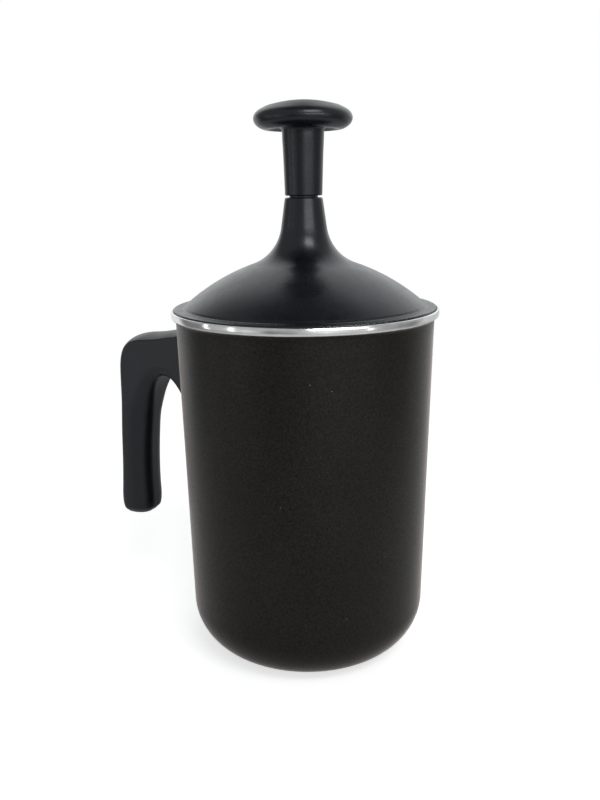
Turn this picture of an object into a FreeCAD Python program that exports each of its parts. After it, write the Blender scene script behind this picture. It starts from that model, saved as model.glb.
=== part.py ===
import FreeCAD, Part

import math
import os

# Plunger milk frother: a coated aluminium pot with a side handle, a domed lid with a tall neck,
# and a plunger that pumps a double mesh filter through the milk.
# Millimetres. +Z is up, the origin is the middle of the pot's base, and the handle points along -X.

V = FreeCAD.Vector
Z_AXIS = V(0, 0, 1)

# ---- driving dimensions: pot ----
POT_BASE_R = 27.8            # flat part of the base
POT_CORNER_R = 20.0          # rounding between base and wall
POT_WALL_TOP_R = 50.2        # outside of the wall, just under the rim
POT_WALL = 1.8
POT_FLOOR = 2.6
POT_INNER_CORNER_R = 16.5
RIM_R = 52.0
RIM_LOW_Z = 137.1
POT_TOP_Z = 139.9
SEAT_R, SEAT_Z = 51.2, 139.0  # step inside the rim that the lid's flange sits in
FLARE_Z = 135.6              # where the wall starts to flare into the rim
BASE_GROOVES_R = (9.0, 15.5, 22.0)
GROOVE_WIDTH, GROOVE_DEPTH = 1.6, 0.4

# ---- driving dimensions: lid ----
NECK_TOP_Z, NECK_TOP_R = 181.5, 7.2
NECK_TANGENT_Z, NECK_TANGENT_R = 170.41, 8.75
NECK_SWEEP_R = 17.0          # hollow sweep between neck and dome
DOME_R = 80.9
DOME_CENTRE = (-6.42, 80.23)  # radius and height of the centre of the dome's arc
DOME_FOOT_R = 46.4
LEDGE_R, LEDGE_Z = 47.5, 140.6  # where the flat top of the flange starts
LID_R = 50.95
LID_WALL = 2.2
SKIRT_OUTER_R, SKIRT_WALL, SKIRT_LOW_Z = 47.6, 1.8, 132.5
GUIDE_BORE_R, GUIDE_TUBE_R, GUIDE_LOW_Z = 4.8, 6.9, 150.0

# ---- driving dimensions: plunger ----
ROD_R = 2.5
BUSH_CLEARANCE = 0.05
COLLAR_R, COLLAR_HEIGHT = 5.4, 0.65
UPPER_BUSH_LENGTH, LOWER_BUSH_LENGTH = 14.0, 9.0
LOWER_FLANGE = 1.8
STEM_LOW_R, STEM_TOP_R, STEM_TOP_Z = 7.1, 7.85, 203.9
RECESS_Z = 206.9             # roof of the shallow recess under the cap
KNOB_TOP_Z, KNOB_TOP_R = 216.3, 46.0
INSERT_R, INSERT_LENGTH, INSERT_LOW_Z = 4.2, 12.0, 186.0
ROD_TOP_Z, ROD_LOW_Z = 200.0, 12.2

# ---- driving dimensions: double filter, from the bottom up ----
NUT_HEIGHT = 4.2
PLATE = 0.8
SCREEN = 0.4
FILTER_LOW_Z = 12.2          # underside of the filter nut with the plunger down
SPRING_RING_R, SPRING_COIL_R = 43.9, 1.4
SCREEN_R = 43.0
PLATE_R = 41.0
SPACER_LENGTH = 8.0
WASHER = 1.0
LOCK_NUT_HEIGHT = 4.0

# ---- driving dimensions: handle ----
HANDLE_WIDTH = 18.0
HANDLE_CROWN = 2.4           # height of the outer face's crown over its edges
HANDLE_END_R = 5.0           # rounding of the grip's lower end
INNER_STRETCH = 1.5          # depth of the roundings beside the inner face, over their width
QUARTER_PULL = 0.5523        # share of a quarter ellipse's half axes to its Bezier poles
SCREW_Z = 112.5
BOSS_R, BOSS_END = 5.0, 56.5     # distances along the handle are from the pot's axis
SCREW_HOLE_R, COUNTERBORE_R = 2.75, 5.0
HEAD_SEAT = 72.0
CAP_START = 84.0
JOINT_GAP = 0.05


# ---------------------------------------------------------------- helpers

def point(r, z):
    """A point of a half section, in the XZ plane."""
    return V(r, 0, z)


def line(a, b):
    return Part.LineSegment(point(*a), point(*b)).toShape()


def arc(a, mid, b):
    return Part.Arc(point(*a), point(*mid), point(*b)).toShape()


def rounding(a, corner, b):
    """The quarter-round from a to b in place of a square corner."""
    share = 2 - math.sqrt(2)
    mid = [c + ((p + q) / 2 - c) * share for p, c, q in zip(a, corner, b)]
    return arc(a, mid, b)


def curve(points, start, end):
    """A smooth curve through the points, with its directions at both ends."""
    spline = Part.BSplineCurve()
    spline.interpolate([point(*p) for p in points], InitialTangent=point(*start), FinalTangent=point(*end))
    return spline.toShape()


def chain(points):
    """Straight edges through the points."""
    return [line(a, b) for a, b in zip(points, points[1:])]


def turned(edges):
    """The solid that a closed half section makes when it turns about Z."""
    wire = Part.Wire(Part.__sortEdges__(edges))
    return Part.makeSolid(Part.Face(wire).revolve(V(0, 0, 0), Z_AXIS, 360))


def turned_points(points):
    return turned(chain(points + points[:1]))


def ring(outer, inner, low, high):
    """A plain tube along Z; inner 0 gives a full cylinder."""
    solid = Part.makeCylinder(outer, high - low, V(0, 0, low))
    return solid.cut(Part.makeCylinder(inner, high - low, V(0, 0, low))) if inner else solid


def rod_along_handle(radius, start, end, z=SCREW_Z):
    """A cylinder along the handle's arm, between two distances from the pot's axis."""
    return Part.makeCylinder(radius, end - start, V(-start, 0, z), V(-1, 0, 0))


def hexagon(across_flats, low, high):
    radius = across_flats / math.sqrt(3)
    corners = [V(radius * math.cos(math.radians(60 * i)), radius * math.sin(math.radians(60 * i)), low)
               for i in range(6)]
    face = Part.Face(Part.makePolygon(corners + corners[:1]))
    return face.extrude(V(0, 0, high - low))


def on_circle(centre, radius, angle):
    return centre[0] + radius * math.cos(angle), centre[1] + radius * math.sin(angle)


def on_arc(centre, radius, a, b):
    """The arc about centre from point a to point b, the short way."""
    start = math.atan2(a[1] - centre[1], a[0] - centre[0])
    end = math.atan2(b[1] - centre[1], b[0] - centre[0])
    return arc(a, on_circle(centre, radius, (start + end) / 2), b)


def touch_point(centre, radius, top):
    """Where the line from a point above touches the outside of a circle."""
    across, up = top[0] - centre[0], top[1] - centre[1]
    angle = math.atan2(up, across) - math.acos(radius / math.hypot(across, up))
    return on_circle(centre, radius, angle)


def at_radius(centre, radius, r):
    """The higher point of a circle at distance r from the axis."""
    return r, centre[1] + math.sqrt(radius ** 2 - (r - centre[0]) ** 2)


# ---------------------------------------------------------------- pot

OUTER_CORNER = (POT_BASE_R, POT_CORNER_R)
OUTER_TANGENT = touch_point(OUTER_CORNER, POT_CORNER_R, (POT_WALL_TOP_R, FLARE_Z))
POT_INNER_R = POT_WALL_TOP_R - POT_WALL


def pot_outside(extra=0.0):
    """A full solid with the pot's outside shape below the rim, grown by extra."""
    low = OUTER_TANGENT[0] + extra, OUTER_TANGENT[1]
    return turned([
        *chain([(0, FLARE_Z), (0, -extra), (POT_BASE_R, -extra)]),
        on_arc(OUTER_CORNER, POT_CORNER_R + extra, (POT_BASE_R, -extra), low),
        *chain([low, (POT_WALL_TOP_R + extra, FLARE_Z), (0, FLARE_Z)]),
    ])


def make_pot():
    inner_corner = (POT_INNER_R - 2.35 - POT_INNER_CORNER_R, POT_FLOOR + POT_INNER_CORNER_R)
    inner_tangent = touch_point(inner_corner, POT_INNER_CORNER_R, (POT_INNER_R, FLARE_Z))
    lip = 0.4                 # small roundings of the rim
    mouth = 0.8               # rounding between the seat and the inside
    edges = [
        line((0, 0), (POT_BASE_R, 0)),
        on_arc(OUTER_CORNER, POT_CORNER_R, (POT_BASE_R, 0), OUTER_TANGENT),
        line(OUTER_TANGENT, (POT_WALL_TOP_R, FLARE_Z)),
        curve([(POT_WALL_TOP_R, FLARE_Z), (RIM_R - lip, RIM_LOW_Z)], (0.03, 1), (1, 0.25)),
        rounding((RIM_R - lip, RIM_LOW_Z), (RIM_R, RIM_LOW_Z), (RIM_R, RIM_LOW_Z + lip)),
        line((RIM_R, RIM_LOW_Z + lip), (RIM_R, POT_TOP_Z - lip)),
        rounding((RIM_R, POT_TOP_Z - lip), (RIM_R, POT_TOP_Z), (RIM_R - lip, POT_TOP_Z)),
        *chain([(RIM_R - lip, POT_TOP_Z), (SEAT_R, POT_TOP_Z), (SEAT_R, SEAT_Z),
                (POT_INNER_R + mouth, SEAT_Z)]),
        rounding((POT_INNER_R + mouth, SEAT_Z), (POT_INNER_R, SEAT_Z), (POT_INNER_R, SEAT_Z - mouth)),
        *chain([(POT_INNER_R, SEAT_Z - mouth), (POT_INNER_R, FLARE_Z), inner_tangent]),
        on_arc(inner_corner, POT_INNER_CORNER_R, inner_tangent, (inner_corner[0], POT_FLOOR)),
        *chain([(inner_corner[0], POT_FLOOR), (0, POT_FLOOR), (0, 0)]),
    ]
    pot = turned(edges)
    for r in BASE_GROOVES_R:
        pot = pot.cut(ring(r + GROOVE_WIDTH / 2, r - GROOVE_WIDTH / 2, 0, GROOVE_DEPTH))
    return pot


# ---------------------------------------------------------------- handle

# Each station has a point on the crowned outer face and one on the inner face, as distance from the
# pot's axis and height in the side view, then the roundings beside the outer and the inner face.
# The first two stations lie behind the pot's wall.
HANDLE_STATIONS = [
    ((44.0, 131.8), (44.0, 74.0), 0.8, 3.0),
    ((49.8, 130.0), (50.3, 87.2), 0.8, 3.0),
    ((55.0, 128.3), (54.7, 98.2), 0.8, 3.0),
    ((60.5, 127.0), (58.9, 104.4), 0.8, 3.0),
    ((66.5, 126.0), (63.0, 107.2), 0.8, 3.0),
    ((73.5, 125.1), (66.5, 107.2), 0.8, 3.2),
    ((80.4, 123.9), (69.3, 105.2), 1.2, 3.8),
    ((85.8, 120.6), (71.4, 101.7), 2.0, 4.6),
    ((88.2, 115.4), (72.9, 97.7), 2.6, 5.6),
    ((89.1, 108.0), (74.1, 93.0), 3.0, 6.6),
    ((89.7, 97.5), (75.2, 87.8), 3.2, 7.4),
    ((90.6, 86.5), (76.2, 81.3), 3.2, 7.4),
    ((91.4, 74.0), (77.1, 72.8), 3.2, 7.4),
    ((92.2, 60.0), (77.8, 59.6), 3.2, 7.4),
    ((92.9, 45.6), (77.9, 45.6), 3.2, 7.4),
]


def handle_section(outer, inner, edge_r, inner_r, inset=0.0):
    """A crowned outer face, flat sides and a rounded inner face, all tangent to each other."""
    crest, bottom = V(-outer[0], 0, outer[1]), V(-inner[0], 0, inner[1])
    up = (crest - bottom).normalize()
    base = bottom + up * inset
    height = (crest - bottom).Length - 2 * inset
    half_width = HANDLE_WIDTH / 2 - inset
    edge_r, inner_r = (max(r - inset, 0.7) for r in (edge_r, inner_r))

    def at(side, rise):
        return base + V(0, 1, 0) * side + up * rise

    def quarter(centre, radius, start, end):
        """Points at the start, middle and end of an arc about a centre, by angle from the side."""
        return [on_circle(centre, radius, angle) for angle in (start, (start + end) / 2, end)]

    crown_r = (HANDLE_WIDTH ** 2 / 4 + HANDLE_CROWN ** 2) / (2 * HANDLE_CROWN) - inset
    crown_centre = (0, height - crown_r)
    edge_side = half_width - edge_r
    edge_rise = crown_centre[1] + math.sqrt((crown_r - edge_r) ** 2 - edge_side ** 2)
    lean = math.atan2(edge_rise - crown_centre[1], edge_side)
    edge = quarter((edge_side, edge_rise), edge_r, lean, 0)
    depth = min(INNER_STRETCH * inner_r, edge_rise - 0.3)
    under = [(half_width, depth), (half_width, depth * (1 - QUARTER_PULL)),
             (half_width - inner_r * (1 - QUARTER_PULL), 0), (half_width - inner_r, 0)]

    def mirrored(points):
        return [(-side, rise) for side, rise in reversed(points)]

    def bezier(points):
        rounding_curve = Part.BezierCurve()
        rounding_curve.setPoles([at(*p) for p in points])
        return rounding_curve.toShape()

    def arc_through(points):
        return Part.Arc(*(at(*p) for p in points)).toShape()

    def straight(a, b):
        return Part.LineSegment(at(*a), at(*b)).toShape()

    left_edge, left_under = mirrored(edge), mirrored(under)
    return Part.Wire([
        arc_through([left_edge[-1], (0, height), edge[0]]),
        arc_through(edge),
        straight(edge[-1], under[0]),
        bezier(under),
        straight(under[-1], left_under[0]),
        bezier(left_under),
        straight(left_under[-1], left_edge[0]),
        arc_through(left_edge),
    ])


def handle_blank():
    """The handle's outer shape, from inside the pot's wall to the rounded end of the grip."""
    sections = [handle_section(*station) for station in HANDLE_STATIONS]
    outer, inner, *roundings = HANDLE_STATIONS[-1]
    for angle in map(math.radians, (20, 40, 58, 74)):
        drop = HANDLE_END_R * math.sin(angle)
        inset = HANDLE_END_R * (1 - math.cos(angle))
        low_outer, low_inner = (outer[0], outer[1] - drop), (inner[0], inner[1] - drop)
        sections.append(handle_section(low_outer, low_inner, *roundings, inset))
    blank = Part.makeLoft(sections, True, False, False, 3)
    return blank.cut(pot_outside(JOINT_GAP))


def make_handle_parts():
    blank = handle_blank()
    beyond = 20.0             # past the grip's outer face
    holes = [
        rod_along_handle(BOSS_R + 0.2, 40, BOSS_END + 0.3),
        rod_along_handle(SCREW_HOLE_R, 50, HEAD_SEAT + 1),
        rod_along_handle(COUNTERBORE_R, HEAD_SEAT, CAP_START + beyond),
    ]
    handle = blank
    for hole in holes:
        handle = handle.cut(hole)

    cap = blank.common(rod_along_handle(COUNTERBORE_R - JOINT_GAP, CAP_START, CAP_START + beyond))
    cap = cap.cut(rod_along_handle(COUNTERBORE_R - 1.6, CAP_START - 1, CAP_START + 2.5))

    thread_start = BOSS_END - 5.5
    boss = rod_along_handle(BOSS_R, 44, BOSS_END).cut(pot_outside())
    boss = boss.cut(rod_along_handle(ROD_R, thread_start, BOSS_END + 1))

    washer_inner, washer_outer, washer_height = 2.7, 4.4, 1.1
    washer_end = HEAD_SEAT + washer_height
    washer = rod_along_handle(washer_outer, HEAD_SEAT, washer_end)
    washer = washer.cut(rod_along_handle(washer_inner, HEAD_SEAT - 1, washer_end + 1))
    split = Part.makeBox(washer_height * 3, 0.7, washer_outer + 2,
                         V(-washer_end - washer_height, -0.35, SCREW_Z))
    split.rotate(V(-washer_end, 0, SCREW_Z), V(0, 0, 1), 20)
    washer = washer.cut(split)

    head_height, head_r, slot = 3.2, 4.5, 1.1
    screw = rod_along_handle(ROD_R, thread_start + 0.5, washer_end + 0.5)
    head = rod_along_handle(head_r, washer_end, washer_end + head_height)
    rim_edges = [e for e in head.Edges if isinstance(e.Curve, Part.Circle)
                 and abs(e.CenterOfMass.x + washer_end + head_height) < 0.01]
    head = head.makeFillet(1.2, rim_edges)
    for angle in (0, 90):
        blade = Part.makeBox(2.2, slot, 5.6, V(-washer_end - head_height - 0.4, -slot / 2, SCREW_Z - 2.8))
        blade.rotate(V(0, 0, SCREW_Z), V(1, 0, 0), angle)
        head = head.cut(blade)
    screw = screw.fuse(head).removeSplitter()
    return {
        "handle": handle,
        "handle_screw_cap": cap,
        "handle_boss": boss,
        "handle_lock_washer": washer,
        "handle_screw": screw,
    }


# ---------------------------------------------------------------- lid and guides

def sweep_centre(neck_radius):
    """Centre of the hollow arc that touches the neck's line at its lower end."""
    slope = math.atan2(NECK_TANGENT_R - NECK_TOP_R, NECK_TOP_Z - NECK_TANGENT_Z)
    return (NECK_TANGENT_R + neck_radius * math.cos(slope),
            NECK_TANGENT_Z + neck_radius * math.sin(slope))


def dome_sweep_touch(sweep, dome_radius):
    """Where the dome's arc and the hollow sweep meet, on the line between their centres."""
    angle = math.atan2(sweep[1] - DOME_CENTRE[1], sweep[0] - DOME_CENTRE[0])
    return on_circle(DOME_CENTRE, dome_radius, angle)


def make_lid():
    sweep = sweep_centre(NECK_SWEEP_R)
    outer_touch = dome_sweep_touch(sweep, DOME_R)
    foot = at_radius(DOME_CENTRE, DOME_R, DOME_FOOT_R)
    inner_dome_r, inner_sweep_r = DOME_R - LID_WALL, NECK_SWEEP_R + LID_WALL
    inner_touch = dome_sweep_touch(sweep, inner_dome_r)
    tube_root = (GUIDE_TUBE_R, sweep[1] - math.sqrt(inner_sweep_r ** 2 - (sweep[0] - GUIDE_TUBE_R) ** 2))
    skirt_inner_r = SKIRT_OUTER_R - SKIRT_WALL
    inner_foot = at_radius(DOME_CENTRE, inner_dome_r, skirt_inner_r - 0.6)
    edge = 0.45               # rounding of the flange
    flange_z = LEDGE_Z - 0.12
    chamfer = 0.4
    neck_edge = (NECK_TOP_R + chamfer * 0.1, NECK_TOP_Z - chamfer)
    edges = [
        *chain([(GUIDE_BORE_R, NECK_TOP_Z), (NECK_TOP_R - chamfer, NECK_TOP_Z), neck_edge,
                (NECK_TANGENT_R, NECK_TANGENT_Z)]),
        on_arc(sweep, NECK_SWEEP_R, (NECK_TANGENT_R, NECK_TANGENT_Z), outer_touch),
        on_arc(DOME_CENTRE, DOME_R, outer_touch, foot),
        curve([foot, (LEDGE_R, LEDGE_Z)], (1, -0.87), (1, -0.04)),
        line((LEDGE_R, LEDGE_Z), (LID_R - edge, flange_z)),
        rounding((LID_R - edge, flange_z), (LID_R, flange_z), (LID_R, flange_z - edge)),
        *chain([(LID_R, flange_z - edge), (LID_R, SEAT_Z), (SKIRT_OUTER_R, SEAT_Z),
                (SKIRT_OUTER_R, SKIRT_LOW_Z + 1), (SKIRT_OUTER_R - 0.5, SKIRT_LOW_Z),
                (skirt_inner_r, SKIRT_LOW_Z), (skirt_inner_r, inner_foot[1] - 1), inner_foot]),
        on_arc(DOME_CENTRE, inner_dome_r, inner_foot, inner_touch),
        on_arc(sweep, inner_sweep_r, inner_touch, tube_root),
        *chain([tube_root, (GUIDE_TUBE_R, GUIDE_LOW_Z), (GUIDE_BORE_R, GUIDE_LOW_Z),
                (GUIDE_BORE_R, NECK_TOP_Z)]),
    ]
    return turned(edges)


def make_guides():
    bore = ROD_R + BUSH_CLEARANCE
    upper_low = NECK_TOP_Z - UPPER_BUSH_LENGTH
    upper = turned_points([
        (bore, upper_low), (GUIDE_BORE_R, upper_low), (GUIDE_BORE_R, NECK_TOP_Z), (COLLAR_R, NECK_TOP_Z),
        (COLLAR_R, NECK_TOP_Z + COLLAR_HEIGHT), (bore, NECK_TOP_Z + COLLAR_HEIGHT)])
    lower_top = GUIDE_LOW_Z + LOWER_BUSH_LENGTH
    flange_low = GUIDE_LOW_Z - LOWER_FLANGE
    lower = turned_points([
        (bore, flange_low), (GUIDE_TUBE_R - 0.5, flange_low), (GUIDE_TUBE_R, flange_low + 0.5),
        (GUIDE_TUBE_R, GUIDE_LOW_Z), (GUIDE_BORE_R, GUIDE_LOW_Z), (GUIDE_BORE_R, lower_top),
        (bore, lower_top)])
    return {"upper_guide_bush": upper, "lower_guide_bush": lower}


# ---------------------------------------------------------------- knob and rod

def make_knob():
    """The stem and its mushroom cap, with a shallow recess under the cap round the stem."""
    low = NECK_TOP_Z + COLLAR_HEIGHT
    chamfer = 0.35
    bore = ROD_R + 0.2
    insert_top = INSERT_LOW_Z + INSERT_LENGTH
    stem, recess, lip = (STEM_TOP_R, STEM_TOP_Z), (10.2, RECESS_Z), (13.7, 205.9)
    top_centre = (0, KNOB_TOP_Z - KNOB_TOP_R)
    top_end = at_radius(top_centre, KNOB_TOP_R, 10.5)
    top_lean = top_end[0] / (top_end[1] - top_centre[1])
    edges = [
        *chain([(bore, low), (STEM_LOW_R - chamfer, low), (STEM_LOW_R, low + chamfer)]),
        curve([(STEM_LOW_R, low + chamfer), (7.32, 190.5), (7.6, 198.5), stem], (0.02, 1), (0.02, 1)),
        curve([stem, (8.15, 206.1), recess], (0.02, 1), (1, 0)),
        curve([recess, (12.0, 206.5), lip], (1, 0), (1, 0)),
        curve([lip, (15.8, 206.45), (17.5, 207.65), (18.45, 209.75), (17.6, 211.95), (14.6, 213.85),
               top_end], (1, 0), (-1, top_lean)),
        on_arc(top_centre, KNOB_TOP_R, top_end, (0, KNOB_TOP_Z)),
        *chain([(0, KNOB_TOP_Z), (0, ROD_TOP_Z), (bore, ROD_TOP_Z), (bore, insert_top),
                (INSERT_R, insert_top), (INSERT_R, INSERT_LOW_Z), (bore, INSERT_LOW_Z), (bore, low)]),
    ]
    return turned(edges)


def make_insert():
    """The brass insert moulded into the knob, with a grip groove round its middle."""
    top = INSERT_LOW_Z + INSERT_LENGTH
    middle = (INSERT_LOW_Z + top) / 2
    groove = 0.7
    insert = ring(INSERT_R, ROD_R, INSERT_LOW_Z, top)
    return insert.cut(ring(INSERT_R + 1, INSERT_R - groove, middle - 1, middle + 1))


def make_rod():
    chamfer = 0.5
    return turned_points([
        (0, ROD_LOW_Z), (ROD_R - chamfer, ROD_LOW_Z), (ROD_R, ROD_LOW_Z + chamfer),
        (ROD_R, ROD_TOP_Z - chamfer), (ROD_R - chamfer, ROD_TOP_Z), (0, ROD_TOP_Z)])


# ---------------------------------------------------------------- double filter

def make_cross_plate(low):
    """A pressed disc with a hub, six spokes and a rim, which carries the lower screen."""
    hub_r, window_outer, windows = 9.0, 36.0, 6
    plate = ring(PLATE_R, ROD_R, low, low + PLATE)
    sector = math.radians(360 / windows)
    spoke = 2.6               # half width of a spoke
    for i in range(windows):
        start, end = i * sector, (i + 1) * sector
        inner_gap, outer_gap = math.asin(spoke / hub_r), math.asin(spoke / window_outer)
        a = on_circle((0, 0), hub_r, start + inner_gap)
        b = on_circle((0, 0), window_outer, start + outer_gap)
        c = on_circle((0, 0), window_outer, end - outer_gap)
        d = on_circle((0, 0), hub_r, end - inner_gap)
        outer_mid = on_circle((0, 0), window_outer, (start + end) / 2)
        inner_mid = on_circle((0, 0), hub_r, (start + end) / 2)
        below = low - 1
        p = [V(x, y, below) for x, y in (a, b, outer_mid, c, d, inner_mid)]
        outline = Part.Wire([
            Part.LineSegment(p[0], p[1]).toShape(), Part.Arc(p[1], p[2], p[3]).toShape(),
            Part.LineSegment(p[3], p[4]).toShape(), Part.Arc(p[4], p[5], p[0]).toShape()])
        plate = plate.cut(Part.Face(outline).extrude(V(0, 0, PLATE + 2)))
    return plate


def make_top_plate(low):
    """A perforated disc that presses the upper screen flat."""
    plate = ring(PLATE_R, ROD_R, low, low + PLATE)
    hole_r = 2.6
    for circle_r, count in ((13.0, 8), (21.5, 14), (30.0, 20), (37.0, 26)):
        for i in range(count):
            x, y = on_circle((0, 0), circle_r, 2 * math.pi * (i + 0.5) / count)
            plate = plate.cut(Part.makeCylinder(hole_r, PLATE + 2, V(x, y, low - 1)))
    return plate


def make_screen(low):
    """A disc of woven wire, as a plain sheet of the weave's thickness."""
    return ring(SCREEN_R, ROD_R, low, low + SCREEN)


def make_edge_spring(middle):
    """The coil spring round a screen's edge, as a plain ring of the coil's outside."""
    return Part.makeTorus(SPRING_RING_R, SPRING_COIL_R, V(0, 0, middle), Z_AXIS)


def make_filter_nut(low):
    """A round thumb nut with scalloped sides that holds the stack on the rod's lower end."""
    radius, flange_r, scallops, scallop_r = 6.5, 8.0, 12, 1.0
    flange = 1.2
    top = low + NUT_HEIGHT
    nut = ring(radius, 0, low, top).fuse(ring(flange_r, 0, top - flange, top)).removeSplitter()
    for i in range(scallops):
        x, y = on_circle((0, 0), radius + 0.3, 2 * math.pi * i / scallops)
        nut = nut.cut(Part.makeCylinder(scallop_r, NUT_HEIGHT - flange, V(x, y, low)))
    return nut.cut(ring(ROD_R, 0, low - 1, top + 1))


def make_lock_nut(low):
    nut = hexagon(8.0, low, low + LOCK_NUT_HEIGHT)
    rounding = 4.55           # the corners are turned off at both ends
    cone = turned_points([
        (0, low), (rounding - 0.5, low), (rounding + 0.2, low + 0.7),
        (rounding + 0.2, low + LOCK_NUT_HEIGHT - 0.7), (rounding - 0.5, low + LOCK_NUT_HEIGHT),
        (0, low + LOCK_NUT_HEIGHT)])
    return nut.common(cone).cut(ring(ROD_R, 0, low - 1, low + LOCK_NUT_HEIGHT + 1))


def make_filter_parts():
    """The stack on the rod's lower end, bottom to top, each piece resting on the last."""
    parts = {}
    z = FILTER_LOW_Z
    parts["filter_nut"] = make_filter_nut(z)
    z += NUT_HEIGHT
    parts["cross_plate"] = make_cross_plate(z)
    z += PLATE
    parts["lower_screen"] = make_screen(z)
    parts["lower_edge_spring"] = make_edge_spring(z + SCREEN / 2)
    z += SCREEN
    parts["filter_spacer"] = ring(4.5, ROD_R, z, z + SPACER_LENGTH)
    z += SPACER_LENGTH
    parts["upper_screen"] = make_screen(z)
    parts["upper_edge_spring"] = make_edge_spring(z + SCREEN / 2)
    z += SCREEN
    parts["top_plate"] = make_top_plate(z)
    z += PLATE
    parts["rod_washer"] = ring(6.0, ROD_R, z, z + WASHER)
    z += WASHER
    parts["rod_lock_nut"] = make_lock_nut(z)
    return parts


# ---------------------------------------------------------------- all parts

def make_all():
    return {
        "pot": make_pot(),
        **make_handle_parts(),
        "lid": make_lid(),
        **make_guides(),
        "knob": make_knob(),
        "knob_insert": make_insert(),
        "plunger_rod": make_rod(),
        **make_filter_parts(),
    }


os.makedirs("parts", exist_ok=True)
for name, shape in make_all().items():
    if not (shape.isValid() and shape.Solids and shape.Volume > 0):
        raise ValueError(f"{name} isn't a valid solid")
    shape.exportStep(f"parts/{name}.step")
    print(name, len(shape.Solids), round(shape.Volume, 1))
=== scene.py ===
"""Looks of a plunger milk frother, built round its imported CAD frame. Metres, +Z up, handle along -X."""

import math

import bpy
from mathutils import Matrix, Vector


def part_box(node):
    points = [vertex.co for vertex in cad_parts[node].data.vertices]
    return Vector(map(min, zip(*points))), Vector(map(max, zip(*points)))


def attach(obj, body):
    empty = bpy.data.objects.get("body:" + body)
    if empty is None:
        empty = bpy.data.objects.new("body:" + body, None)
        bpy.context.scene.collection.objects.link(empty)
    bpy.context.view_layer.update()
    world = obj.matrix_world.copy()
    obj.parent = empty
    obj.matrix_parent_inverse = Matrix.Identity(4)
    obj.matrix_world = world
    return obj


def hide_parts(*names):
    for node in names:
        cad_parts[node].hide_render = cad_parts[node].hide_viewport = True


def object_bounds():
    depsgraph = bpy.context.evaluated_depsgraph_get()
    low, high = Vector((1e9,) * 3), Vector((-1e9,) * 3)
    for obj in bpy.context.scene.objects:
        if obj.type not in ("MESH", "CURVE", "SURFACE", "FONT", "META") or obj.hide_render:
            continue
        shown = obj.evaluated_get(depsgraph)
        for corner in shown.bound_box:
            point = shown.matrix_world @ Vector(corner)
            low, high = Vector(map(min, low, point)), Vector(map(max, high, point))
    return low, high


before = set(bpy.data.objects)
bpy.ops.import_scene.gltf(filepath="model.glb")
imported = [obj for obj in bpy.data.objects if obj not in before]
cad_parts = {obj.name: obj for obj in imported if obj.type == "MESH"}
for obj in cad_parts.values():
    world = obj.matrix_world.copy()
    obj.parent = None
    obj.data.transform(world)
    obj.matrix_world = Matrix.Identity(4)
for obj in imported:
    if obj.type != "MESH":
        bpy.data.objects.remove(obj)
cad_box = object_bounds()
MM = 0.001
UP = Vector((0, 0, 1))
CAMERA_BEARING = math.radians(27.0)   # where the camera stands, turned from -Y towards +X

# Soft boxes: name, bearing, height, distance, (width, height), radiance.
# A bearing is in degrees from the camera's, seen from the object, and grows to the right of the picture.
LIGHTS = (
    ("key_softbox", 27, 0.37, 0.9, (0.80, 0.24), 3.2),
    ("high_key", 25, 1.0, 0.8, (0.62, 0.36), 6.5),
    ("left_strip", -87, 0.1, 0.9, (0.07, 0.45), 1.6),
    ("left_front_strip", -61, 0.1, 0.9, (0.08, 0.45), 1.4),
    ("right_strip", 53, 0.05, 0.9, (0.06, 0.3), 1.8),
)

# The studio's own light, as (bearing, level): at the horizon, and higher up.
HORIZON = ((-180, 0.85), (-132, 0.9), (-122, 0.2), (-98, 0.2), (-80, 0.5), (-46, 0.75), (-30, 0.2),
           (-10, 0.36), (18, 1.0), (42, 0.68), (74, 0.36), (103, 0.22), (116, 0.65), (180, 0.65))
SKY = ((-180, 0.45), (-168, 1.2), (-150, 1.25), (-130, 0.25), (-105, 0.35), (-75, 0.5), (0, 0.45),
       (85, 0.42), (112, 0.55), (122, 0.6), (138, 1.25), (168, 1.2), (180, 0.45))

# Half section of the pot, in millimetres out from its axis and up from its base.
WALL_TOP = (50.2, 135.6)       # where the wall turns out into the rim, on its outside
WALL = 1.8
CORNER, CORNER_R = (27.8, 20.0), 20.0                  # the round between base and wall, outside
INNER_CORNER, INNER_CORNER_R = (29.55, 19.1), 16.5     # and inside
POT_FLOOR = 2.6
BAND_LOW = 137.1               # lower edge of the bare band round the rim
BAND_LIP = 0.4                 # how far the band's two edges are rounded
BAND_CROWN = 0.12              # how far the band stands out in its middle
SEAT_R, SEAT_Z = 51.2, 139.0   # the step that the lid rests on
MOUTH_R = 0.8                  # the rounding from that step into the pot
BREAK = 0.08                   # a broken edge
BARE_R = 25.6                  # the bare disc under the base
GROOVE_RADII = (9.0, 15.5, 22.0)
GROOVE = ((-0.8, 0.0), (-0.5, 0.3), (0.0, 0.4), (0.5, 0.3), (0.8, 0.0))   # (across, deep)


# ---------------------------------------------------------------- camera

def bearing_point(bearing, height, distance):
    """A place seen at a bearing from the camera's, in degrees to the right of the picture."""
    angle = CAMERA_BEARING + math.radians(bearing)
    return Vector((distance * math.sin(angle), -distance * math.cos(angle), height))


def make_camera():
    """In front of the pot, a little to the right of its side view, looking slightly down."""
    distance, height = 317.2 * MM, 184.15 * MM
    pitch, roll, aim = math.radians(14.483), math.radians(-0.731), math.radians(0.43)
    data = bpy.data.cameras.new("camera")
    data.sensor_width = 36.0
    data.lens = 36.555
    data.clip_start = 0.01
    data.clip_end = 50.0
    camera = bpy.data.objects.new("camera", data)
    place = Matrix.Translation(bearing_point(0, height, distance))
    turn = Matrix.Rotation(CAMERA_BEARING + aim, 4, "Z")
    tilt = Matrix.Rotation(math.pi / 2 - pitch, 4, "X")
    camera.matrix_world = place @ turn @ tilt @ Matrix.Rotation(roll, 4, "Z")
    bpy.context.scene.collection.objects.link(camera)
    bpy.context.scene.camera = camera


# ---------------------------------------------------------------- node trees

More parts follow.
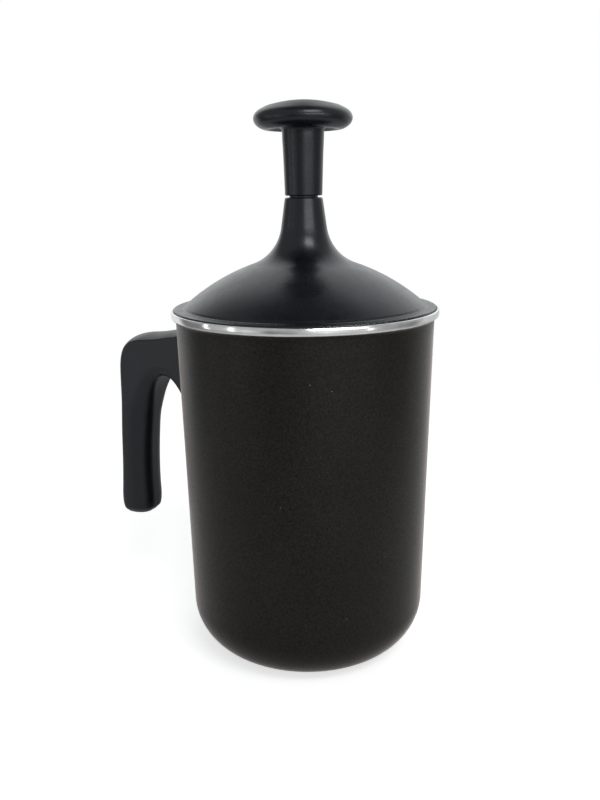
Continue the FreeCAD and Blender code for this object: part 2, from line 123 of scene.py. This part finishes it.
class Tree:
    """Short calls for a node tree. Apart from add, a call gives the output socket of what it adds."""

    def __init__(self, node_tree):
        self.nodes = node_tree.nodes
        self.links = node_tree.links

    def add(self, kind, **settings):
        node = self.nodes.new(kind)
        for name, value in settings.items():
            setattr(node, name, value)
        return node

    def feed(self, socket, value):
        """Links a socket to another socket, or sets it to a plain value."""
        if isinstance(value, bpy.types.NodeSocket):
            self.links.new(value, socket)
        else:
            socket.default_value = value

    def feed_all(self, sockets, values):
        for socket, value in zip(sockets, values):
            self.feed(socket, value)

    def math(self, operation, *values):
        node = self.add("ShaderNodeMath", operation=operation)
        self.feed_all(node.inputs, values)
        return node.outputs[0]

    def vector_math(self, operation, *values, output=0):
        node = self.add("ShaderNodeVectorMath", operation=operation)
        self.feed_all(node.inputs, values)
        return node.outputs[output]

    def smooth_step(self, value, low, high, at_low=0.0, at_high=1.0):
        node = self.add("ShaderNodeMapRange", interpolation_type="SMOOTHSTEP")
        names = ("Value", "From Min", "From Max", "To Min", "To Max")
        self.feed_all([node.inputs[name] for name in names], (value, low, high, at_low, at_high))
        return node.outputs["Result"]

    def ramp(self, factor, *stops):
        """A colour ramp whose stops are (position, grey or colour)."""
        node = self.add("ShaderNodeValToRGB")
        elements = node.color_ramp.elements
        while len(elements) < len(stops):
            elements.new(0.5)
        for element, (position, colour) in zip(elements, stops):
            element.position = position
            colour = colour if isinstance(colour, tuple) else (colour,) * 3
            element.color = (*colour, 1.0)
        self.feed(node.inputs["Fac"], factor)
        return node.outputs["Color"]

    def mix(self, factor, first, second):
        """One colour socket mixed with a plain colour."""
        node = self.add("ShaderNodeMix", data_type="RGBA")
        self.feed_all([node.inputs[name] for name in ("Factor", "A", "B")], (factor, first, (*second, 1.0)))
        return node.outputs["Result"]

    def mix_shader(self, factor, first, second):
        node = self.add("ShaderNodeMixShader")
        self.feed_all(node.inputs, (factor, first, second))
        return node.outputs[0]

    def camera_ray(self):
        return self.add("ShaderNodeLightPath").outputs["Is Camera Ray"]


class Finish(Tree):
    """One material with a Principled shader. Grain sizes and depths are in millimetres."""

    def __init__(self, name, **sockets):
        self.material = bpy.data.materials.new(name)
        self.material.use_nodes = True
        super().__init__(self.material.node_tree)
        self.shader = self.nodes["Principled BSDF"]
        for socket, value in sockets.items():
            self.shader.inputs[socket.replace("_", " ")].default_value = value
        self.place = self.add("ShaderNodeTexCoord").outputs["Object"]
        self.normal = None

    def noise(self, size, detail=2.0, gain=0.5, place=None):
        node = self.add("ShaderNodeTexNoise")
        self.feed(node.inputs["Vector"], place or self.place)
        node.inputs["Scale"].default_value = 1 / (size * MM)
        node.inputs["Detail"].default_value = detail
        node.inputs["Roughness"].default_value = gain
        return node.outputs["Fac"]

    def cells(self, size):
        """The distance to the nearest of many scattered points."""
        node = self.add("ShaderNodeTexVoronoi")
        self.feed(node.inputs["Vector"], self.place)
        node.inputs["Scale"].default_value = 1 / (size * MM)
        return node.outputs["Distance"]

    def round_axis(self, drag=1.5):
        """Coordinates that run round the Z axis, so that a noise on them makes turning marks."""
        parts = self.add("ShaderNodeSeparateXYZ")
        self.feed(parts.inputs[0], self.place)
        x, y, z = parts.outputs
        radius = self.math("SQRT", self.math("ADD", self.math("MULTIPLY", x, x), self.math("MULTIPLY", y, y)))
        angle = self.math("ARCTAN2", y, x)
        joined = self.add("ShaderNodeCombineXYZ")
        self.feed_all(joined.inputs, (radius, z, self.math("MULTIPLY", angle, drag * MM)))
        return joined.outputs[0]

    def mottle(self, noise, colour, darkest, lightest=1.0):
        """A colour that a noise darkens and lightens by two factors."""
        dark, light = (tuple(factor * c for c in colour) for factor in (darkest, lightest))
        return self.ramp(noise, (0.3, dark), (0.7, light))

    def wander(self, noise, low, high):
        """A number that a noise moves between two limits."""
        return self.smooth_step(noise, 0.25, 0.75, low, high)

    def bump(self, height, depth):
        """Adds relief of that depth to what is already there."""
        node = self.add("ShaderNodeBump")
        node.inputs["Distance"].default_value = depth * MM
        self.feed(node.inputs["Height"], height)
        if self.normal:
            self.feed(node.inputs["Normal"], self.normal)
        self.normal = node.outputs["Normal"]

    def done(self, **sockets):
        """Links the shader's sockets and gives the finished material."""
        if self.normal:
            sockets["Normal"] = self.normal
        for socket, value in sockets.items():
            self.feed(self.shader.inputs[socket.replace("_", " ")], value)
        return self.material


# ---------------------------------------------------------------- floor and light

def floor_material():
    """Near white and a little dim in reflections, and it fades out well away from the object."""
    clear_from, clear_by = 0.18, 0.55
    grey, glow_level = 0.75, 0.62
    material = bpy.data.materials.new("pale_floor")
    material.use_nodes = True
    tree = Tree(material.node_tree)
    tree.nodes.clear()
    place = tree.add("ShaderNodeTexCoord").outputs["Object"]
    fade = tree.smooth_step(tree.vector_math("LENGTH", place, output="Value"), clear_from, clear_by)
    matt = tree.add("ShaderNodeBsdfDiffuse")
    matt.inputs["Color"].default_value = (grey, grey, grey, 1)
    glow = tree.add("ShaderNodeEmission")
    glow.inputs["Strength"].default_value = glow_level
    glowing = tree.add("ShaderNodeAddShader")
    tree.feed_all(glowing.inputs, (matt.outputs[0], glow.outputs[0]))
    near = tree.mix_shader(tree.camera_ray(), matt.outputs[0], glowing.outputs[0])
    whole = tree.mix_shader(fade, near, tree.add("ShaderNodeBsdfTransparent").outputs[0])
    tree.feed(tree.add("ShaderNodeOutputMaterial").inputs["Surface"], whole)
    return material


def make_floor():
    radius, segments = 0.6, 96
    mesh = bpy.data.meshes.new("floor")
    mesh.from_pydata(ring([radius] * segments, 0), [], [tuple(range(segments))])
    mesh.materials.append(floor_material())
    floor = bpy.data.objects.new("floor", mesh)
    floor.location.z = cad_box[0].z
    bpy.context.scene.collection.objects.link(floor)


def make_light(name, bearing, height, distance, size, radiance):
    """A soft box that faces the middle of the object."""
    place, middle = bearing_point(bearing, height, distance), Vector((0, 0, 0.13))
    data = bpy.data.lights.new(name, "AREA")
    data.shape = "RECTANGLE"
    data.size, data.size_y = size
    data.energy = radiance * math.pi * size[0] * size[1]
    light = bpy.data.objects.new(name, data)
    light.location = place
    light.rotation_euler = (middle - place).to_track_quat("-Z", "Y").to_euler()
    bpy.context.scene.collection.objects.link(light)


def studio_level(tree):
    """How bright the studio is in a direction. A rise is the sine of an elevation."""
    horizon_low, horizon_high = -0.08, 0.22                 # between these it goes over into the sky
    ground_far, ground_near, ground_share = -0.5, -0.2, 0.3
    top_start, top_end, top_share = 0.80, 0.97, 0.15
    direction = tree.add("ShaderNodeTexCoord").outputs["Generated"]
    parts = tree.add("ShaderNodeSeparateXYZ")
    tree.feed(parts.inputs[0], direction)
    rise = parts.outputs["Z"]
    front, right = (tree.vector_math("DOT_PRODUCT", direction, bearing_point(bearing, 0, 1), output="Value")
                    for bearing in (0, 90))
    turn = tree.math("MULTIPLY_ADD", tree.math("ARCTAN2", right, front), 0.5 / math.pi, 0.5)
    horizon, sky = (tree.ramp(turn, *((0.5 + bearing / 360, level) for bearing, level in stops))
                    for stops in (HORIZON, SKY))
    ground = tree.smooth_step(rise, ground_far, ground_near, ground_share, 1.0)
    overhead = tree.smooth_step(rise, top_start, top_end, 1.0, top_share)
    below, above = tree.math("MULTIPLY", horizon, ground), tree.math("MULTIPLY", sky, overhead)
    return tree.smooth_step(rise, horizon_low, horizon_high, below, above)


def make_world():
    """A studio that looks plain white to the camera, and lights the object unevenly."""
    world = bpy.data.worlds.new("studio")
    world.use_nodes = True
    tree = Tree(world.node_tree)
    tree.nodes.clear()
    lit = tree.add("ShaderNodeBackground")
    lit.inputs["Color"].default_value = (0.96, 0.99, 1.0, 1)
    tree.feed(lit.inputs["Strength"], studio_level(tree))
    seen = tree.add("ShaderNodeBackground")
    seen.inputs["Color"].default_value = (1, 1, 1, 1)
    surface = tree.mix_shader(tree.camera_ray(), lit.outputs[0], seen.outputs[0])
    tree.feed(tree.add("ShaderNodeOutputWorld").inputs["Surface"], surface)
    bpy.context.scene.world = world


# ---------------------------------------------------------------- materials

def pot_coating(name, dark, light, roughness, specks):
    """Baked-on non-stick coating: fine grains a shade lighter than the ground, and a few white specks."""
    cloud_share = 0.16
    speck_spacing, speck_reach, speck_colour = 8.5, 0.022, (0.20, 0.19, 0.17)
    finish = Finish(name, IOR=1.32, Specular_Tint=(1.0, 0.95, 0.91, 1), Sheen_Weight=1.0,
                    Sheen_Roughness=0.25, Sheen_Tint=(0.95, 0.86, 0.82, 1))
    grain = finish.noise(0.75, detail=3, gain=0.7)
    cloud = finish.noise(30, detail=2)
    level = finish.math("MULTIPLY_ADD", cloud, cloud_share, finish.math("SUBTRACT", grain, cloud_share / 2))
    colour = finish.ramp(level, (0.38, dark), (0.64, light))
    if specks:
        spot = finish.math("LESS_THAN", finish.cells(speck_spacing), speck_reach)
        colour = finish.mix(spot, colour, speck_colour)
    finish.bump(finish.noise(0.7, detail=3, gain=0.6), 0.035)
    finish.bump(finish.noise(9, detail=1), 0.03)
    rough = finish.smooth_step(grain, 0.3, 0.7, roughness + 0.06, roughness - 0.05)
    return finish.done(Base_Color=colour, Roughness=rough)


def turned_aluminium(name, colour, roughness, depth):
    """Bare aluminium with fine lathe marks round the axis."""
    finish = Finish(name, Metallic=1.0)
    path = finish.round_axis()
    finish.bump(finish.noise(0.12, detail=3, place=path), depth)
    tone = finish.mottle(finish.noise(5, detail=3), colour, 0.86)
    rough = finish.wander(finish.noise(1.2, detail=2, place=path), roughness - 0.04, roughness + 0.08)
    return finish.done(Base_Color=tone, Roughness=rough)


def moulded_plastic(name, colour, roughness, grain, depth):
    """Satin moulded plastic, with a spark-eroded grain and slightly uneven gloss."""
    finish = Finish(name, IOR=1.49, Specular_Tint=(0.92, 0.95, 1.0, 1))
    tone = finish.mottle(finish.noise(14, detail=3), colour, 0.85, 1.15)
    finish.bump(finish.noise(grain, detail=2), depth)
    rough = finish.wander(finish.noise(3.5, detail=4), roughness - 0.03, roughness + 0.03)
    return finish.done(Base_Color=tone, Roughness=rough)


def drawn_steel(name, colour, roughness):
    """Ground stainless steel, with fine marks round the axis."""
    finish = Finish(name, Metallic=1.0)
    path = finish.round_axis(drag=0.8)
    finish.bump(finish.noise(0.16, detail=2, place=path), 0.001)
    tone = finish.mottle(finish.noise(2.5, detail=3), colour, 0.9)
    rough = finish.wander(finish.noise(0.8, detail=2, place=path), roughness - 0.05, roughness + 0.06)
    return finish.done(Base_Color=tone, Roughness=rough)


def plated_metal(name, colour, roughness):
    """Plated or cast metal with a faint mottle."""
    finish = Finish(name, Metallic=1.0)
    patches = finish.noise(0.9, detail=3)
    finish.bump(patches, 0.006)
    tone = finish.mottle(patches, colour, 0.82)
    rough = finish.wander(finish.noise(2.2, detail=2), roughness - 0.05, roughness + 0.07)
    return finish.done(Base_Color=tone, Roughness=rough)


# ---------------------------------------------------------------- mesh helpers

def add_piece(name, points, faces, materials, indices=None, sharp=35.0):
    """A mesh object with smooth shading that breaks at edges sharper than an angle in degrees."""
    mesh = bpy.data.meshes.new(name)
    mesh.from_pydata([tuple(c * MM for c in p) for p in points], [], faces)
    for material in materials:
        mesh.materials.append(material)
    if indices:
        mesh.polygons.foreach_set("material_index", indices)
    mesh.update()
    mesh.shade_smooth()
    mesh.set_sharp_from_angle(angle=math.radians(sharp))
    piece = bpy.data.objects.new(name, mesh)
    bpy.context.scene.collection.objects.link(piece)
    return piece


def stand_for(piece, node, body):
    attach(piece, body)
    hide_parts(node)


def arc(centre, radius, start, end, steps):
    """Points along an arc in a half section, by angles in degrees."""
    angles = [math.radians(start + (end - start) * i / steps) for i in range(steps + 1)]
    return [(centre[0] + radius * math.cos(a), centre[1] + radius * math.sin(a)) for a in angles]


def bend(start, end, start_way, end_way, steps):
    """A smooth bend between two points with given directions, without its two end points."""
    length = math.dist(start, end)
    terms = (start, [length * c for c in start_way], end, [length * c for c in end_way])
    points = []
    for i in range(1, steps):
        t = i / steps
        weights = (2 * t**3 - 3 * t**2 + 1, t**3 - 2 * t**2 + t, 3 * t**2 - 2 * t**3, t**3 - t**2)
        points.append(tuple(sum(w * term[k] for w, term in zip(weights, terms)) for k in (0, 1)))
    return points


def touch_angle(centre, radius, top):
    """The angle in degrees at which the line from a point above touches a circle's outside."""
    across, up = top[0] - centre[0], top[1] - centre[1]
    return math.degrees(math.atan2(up, across) - math.acos(radius / math.hypot(across, up)))


def ring(radii, z):
    """Points round the Z axis at one height, one for each radius."""
    turns = [2 * math.pi * k / len(radii) for k in range(len(radii))]
    return [(r * math.cos(turn), r * math.sin(turn), z) for r, turn in zip(radii, turns)]


def skin(rings):
    """Points and faces of a surface over rings of points. A ring of a single point closes an end."""
    points, rows, faces = [], [], []
    for one in rings:
        rows.append(range(len(points), len(points) + len(one)))
        points += one
    count = max(len(row) for row in rows)
    for lower, upper in zip(rows, rows[1:]):
        for i in range(count):
            j = (i + 1) % count
            face = [row[step % len(row)] for row, step in ((lower, i), (lower, j), (upper, j), (upper, i))]
            faces.append(tuple(dict.fromkeys(face)))
    return points, faces


def turned(sections, segments):
    """Points, faces and material indices of a half section turned about Z. Sections are (material
    index, points), each starting where the last one ends, and the whole starts and ends on the axis."""
    nearly_zero = 1e-6
    profile = [sections[0][1][0]]
    owners = []
    for owner, points in sections:
        fresh = [p for p in points if math.dist(p, profile[-1]) > nearly_zero]
        profile += fresh
        owners += [owner] * len(fresh)
    points, faces = skin([ring([r] * (segments if r > nearly_zero else 1), z) for r, z in profile])
    return points, faces, [owner for owner in owners for _ in range(segments)]


def tube(path, radius, sides, closed=False):
    """Points and faces of a round wire along a path of (centre, across, up) rows."""
    points, faces = [], []
    for centre, across, up in path:
        for k in range(sides):
            angle = 2 * math.pi * k / sides
            points.append(centre + across * (radius * math.cos(angle)) + up * (radius * math.sin(angle)))
    rows = len(path)
    for i in range(rows if closed else rows - 1):
        a, b = i * sides, (i + 1) % rows * sides
        for k in range(sides):
            n = (k + 1) % sides
            faces.append((a + k, a + n, b + n, b + k))
    if not closed:
        faces.append(tuple(reversed(range(sides))))
        faces.append(tuple(range((rows - 1) * sides, rows * sides)))
    return points, faces


# ---------------------------------------------------------------- the pot

def base_points():
    """Out from the axis, over the bare disc under the pot with its turned grooves."""
    grooves = [(r + across, deep) for r in GROOVE_RADII for across, deep in GROOVE]
    return [(0.0, 0.0), *grooves, (BARE_R - 0.3, 0.0), (BARE_R, 0.06)]


def outside_points(rim_r):
    """Up the coated outside, to the lower edge of the rim's band."""
    corner = arc(CORNER, CORNER_R, -90, touch_angle(CORNER, CORNER_R, WALL_TOP), 28)
    wall = [tuple(a + (b - a) * t for a, b in zip(corner[-1], WALL_TOP))
            for t in (0.02, 0.25, 0.5, 0.75, 0.98, 1.0)]
    band_start = (rim_r - BAND_LIP, BAND_LOW)
    flare = bend(WALL_TOP, band_start, (0.03, 1.0), (1.0, 0.25), 8)
    return [(CORNER[0], 0.0), *corner, *wall, *flare, band_start]


def rim_points(rim_r, top):
    """Over the bare rim: up its band, across its top, and down to the step that holds the lid."""
    low_edge, high_edge = (rim_r - BAND_LIP, BAND_LOW), (rim_r - BAND_LIP, top)
    middle, half = (BAND_LOW + top) / 2, (top - BAND_LOW - 2 * BAND_LIP) / 2
    band = [(rim_r - BAND_CROWN * t ** 2, middle + half * t)
            for t in (-1, -0.75, -0.5, -0.25, 0, 0.25, 0.5, 0.75, 1)]
    mouth = (WALL_TOP[0] - WALL + MOUTH_R, SEAT_Z - MOUTH_R)
    return [*bend(low_edge, band[0], (1.0, 0.1), (0.1, 1.0), 4), *band,
            *bend(band[-1], high_edge, (-0.1, 1.0), (-1.0, 0.0), 4), high_edge,
            (SEAT_R + BREAK, top), (SEAT_R, top - BREAK), (SEAT_R, SEAT_Z),
            (mouth[0], SEAT_Z), *arc(mouth, MOUTH_R, 90, 180, 5)]


def inside_points():
    """Down the coated inside, and in to the axis."""
    inner_top = (WALL_TOP[0] - WALL, WALL_TOP[1])
    angle = touch_angle(INNER_CORNER, INNER_CORNER_R, inner_top)
    return [inner_top, *arc(INNER_CORNER, INNER_CORNER_R, angle, -90, 24),
            *((r, POT_FLOOR) for r in (20.0, 10.0, 0.0))]


def make_pot():
    """The whole pot as one turned shell: coated outside, bare turned rim, coated inside, bare base."""
    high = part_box("pot")[1] / MM
    coating, rim, inside, base = range(4)
    materials = [
        pot_coating("pot_coating", (0.0003, 0.0002, 0.0001), (0.0120, 0.0102, 0.0084), 0.38, specks=True),
        turned_aluminium("bare_rim", (0.87, 0.86, 0.85), roughness=0.10, depth=0.0022),
        pot_coating("inside_coating", (0.006, 0.006, 0.006), (0.020, 0.020, 0.020), 0.34, specks=False),
        turned_aluminium("bare_base", (0.78, 0.78, 0.77), roughness=0.32, depth=0.02),
    ]
    sections = [(base, base_points()), (coating, outside_points(high.x)),
                (rim, rim_points(high.x, high.z)), (inside, inside_points())]
    points, faces, indices = turned(sections, 256)
    stand_for(add_piece("pot_shell", points, faces, materials, indices), "pot", "pot")


# ---------------------------------------------------------------- the plunger's wire and rod

def woven_wire(offset, start, end, side, along_x, pitch, wire_r, height):
    """Points and faces of a wire that waves over and under those it crosses. Side is 1 or -1."""
    across = Vector((0, 1, 0)) if along_x else Vector((-1, 0, 0))
    steps = max(2, round((end - start) / pitch * 2))
    path = []
    for i in range(steps + 1):
        run = start + (end - start) * i / steps
        z = height + wire_r * math.cos(math.pi * run / pitch) * side
        path.append((Vector((run, offset, z) if along_x else (offset, run, z)), across, UP))
    return tube(path, wire_r, 6)


def make_woven_screen(node, material):
    """A disc of plain-woven wire, with every wire over one and under the next."""
    low, high = (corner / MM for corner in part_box(node))
    disc_r, bore_r, pitch = high.x, 2.6, 1.25
    wire_r, height = (high.z - low.z) / 4, (low.z + high.z) / 2
    shortest = 2 * pitch
    points, faces = [], []
    count = int(disc_r / pitch)
    for k in range(-count, count + 1):
        offset, side = k * pitch, (-1) ** k
        half = math.sqrt(disc_r ** 2 - offset ** 2)
        if half < shortest:
            continue
        hole = math.sqrt(bore_r ** 2 - offset ** 2) if abs(offset) < bore_r else 0.0
        spans = [(-half, -hole), (hole, half)] if hole else [(-half, half)]
        wires = [(start, end, *way) for start, end in spans for way in ((side, True), (-side, False))]
        for wire in wires:
            first = len(points)
            wire_points, wire_faces = woven_wire(offset, *wire, pitch, wire_r, height)
            points += wire_points
            faces += [tuple(first + index for index in face) for face in wire_faces]
    piece = add_piece(node + "_weave", points, faces, [material], sharp=60.0)
    stand_for(piece, node, "plunger")


def make_edge_spring(node, material):
    """A thin coil spring whose ends are joined, wound round the edge of a screen."""
    low, high = (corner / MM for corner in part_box(node))
    coil_r = (high.z - low.z) / 2
    ring_r, middle = high.x - coil_r, (low.z + high.z) / 2
    wire_r, turns, steps = 0.24, 290, 12
    path = []
    for i in range(turns * steps):
        turn = 2 * math.pi * i / (turns * steps)
        winding = 2 * math.pi * i / steps
        radial = Vector((math.cos(turn), math.sin(turn), 0))
        outward = radial * math.cos(winding) + UP * math.sin(winding)
        centre = radial * ring_r + UP * middle + outward * (coil_r - wire_r)
        path.append((centre, outward, Vector((-radial.y, radial.x, 0))))
    points, faces = tube(path, wire_r, 6, closed=True)
    piece = add_piece(node + "_coil", points, faces, [material], sharp=75.0)
    stand_for(piece, node, "plunger")


def make_rod(material):
    """The plunger's rod, with a real thread on its lower end, where the nuts hold the filter."""
    low, high = (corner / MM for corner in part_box("plunger_rod"))
    radius, chamfer = high.x, 0.5
    thread_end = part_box("rod_lock_nut")[1].z / MM + 5.0
    pitch, depth, columns, rings_per_turn = 0.8, 0.42, 40, 8
    rings = [[(0.0, 0.0, low.z)], ring([radius - chamfer] * columns, low.z)]
    for i in range(int((thread_end - low.z) / pitch * rings_per_turn)):
        z = low.z + chamfer + pitch / rings_per_turn * i
        cut = depth * max(0.0, min(1.0, (thread_end - z) / (2 * pitch), (z - low.z) / pitch))
        waves = [abs(2 * ((z / pitch + k / columns) % 1) - 1) for k in range(columns)]
        rings.append(ring([radius - cut * wave for wave in waves], z))
    for r, z in ((radius, thread_end + 1), (radius, high.z - chamfer), (radius - chamfer, high.z)):
        rings.append(ring([r] * columns, z))
    points, faces = skin([*rings, [(0.0, 0.0, high.z)]])
    piece = add_piece("threaded_rod", points, faces, [material], sharp=40.0)
    stand_for(piece, "plunger_rod", "plunger")


# ---------------------------------------------------------------- the other pieces

def paint_nodes():
    """Materials for the nodes that keep their CAD shape."""
    lid = moulded_plastic("lid_plastic", (0.0040, 0.0045, 0.0066), 0.28, grain=0.22, depth=0.001)
    knob = moulded_plastic("knob_plastic", (0.0038, 0.0042, 0.0060), 0.29, grain=0.22, depth=0.001)
    handle = moulded_plastic("handle_plastic", (0.0036, 0.0038, 0.0056), 0.38, grain=0.30, depth=0.005)
    bush = moulded_plastic("bush_plastic", (0.03, 0.03, 0.03), 0.4, grain=0.3, depth=0.004)
    pressed = drawn_steel("pressed_steel", (0.62, 0.62, 0.61), 0.24)
    zinc = plated_metal("zinc_plate", (0.55, 0.55, 0.53), 0.35)
    paints = {
        "lid": lid,
        "knob": knob,
        "handle": handle,
        "handle_screw_cap": handle,
        "upper_guide_bush": bush,
        "lower_guide_bush": bush,
        "handle_boss": plated_metal("boss_aluminium", (0.75, 0.75, 0.75), 0.4),
        "handle_screw": zinc,
        "handle_lock_washer": zinc,
        "knob_insert": plated_metal("insert_brass", (0.72, 0.52, 0.24), 0.3),
        "filter_nut": pressed,
        "cross_plate": pressed,
        "filter_spacer": pressed,
        "top_plate": pressed,
        "rod_washer": pressed,
        "rod_lock_nut": pressed,
    }
    for node, material in paints.items():
        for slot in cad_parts[node].material_slots:
            slot.material = material


make_camera()
make_floor()
for light_row in LIGHTS:
    make_light(*light_row)
make_world()
make_pot()
paint_nodes()
wire_steel = drawn_steel("wire_steel", (0.66, 0.66, 0.65), 0.22)
for screen in ("lower_screen", "upper_screen"):
    make_woven_screen(screen, wire_steel)
for spring in ("lower_edge_spring", "upper_edge_spring"):
    make_edge_spring(spring, wire_steel)
make_rod(drawn_steel("rod_steel", (0.66, 0.66, 0.66), 0.16))

bpy.context.scene.view_settings.view_transform = "Standard"
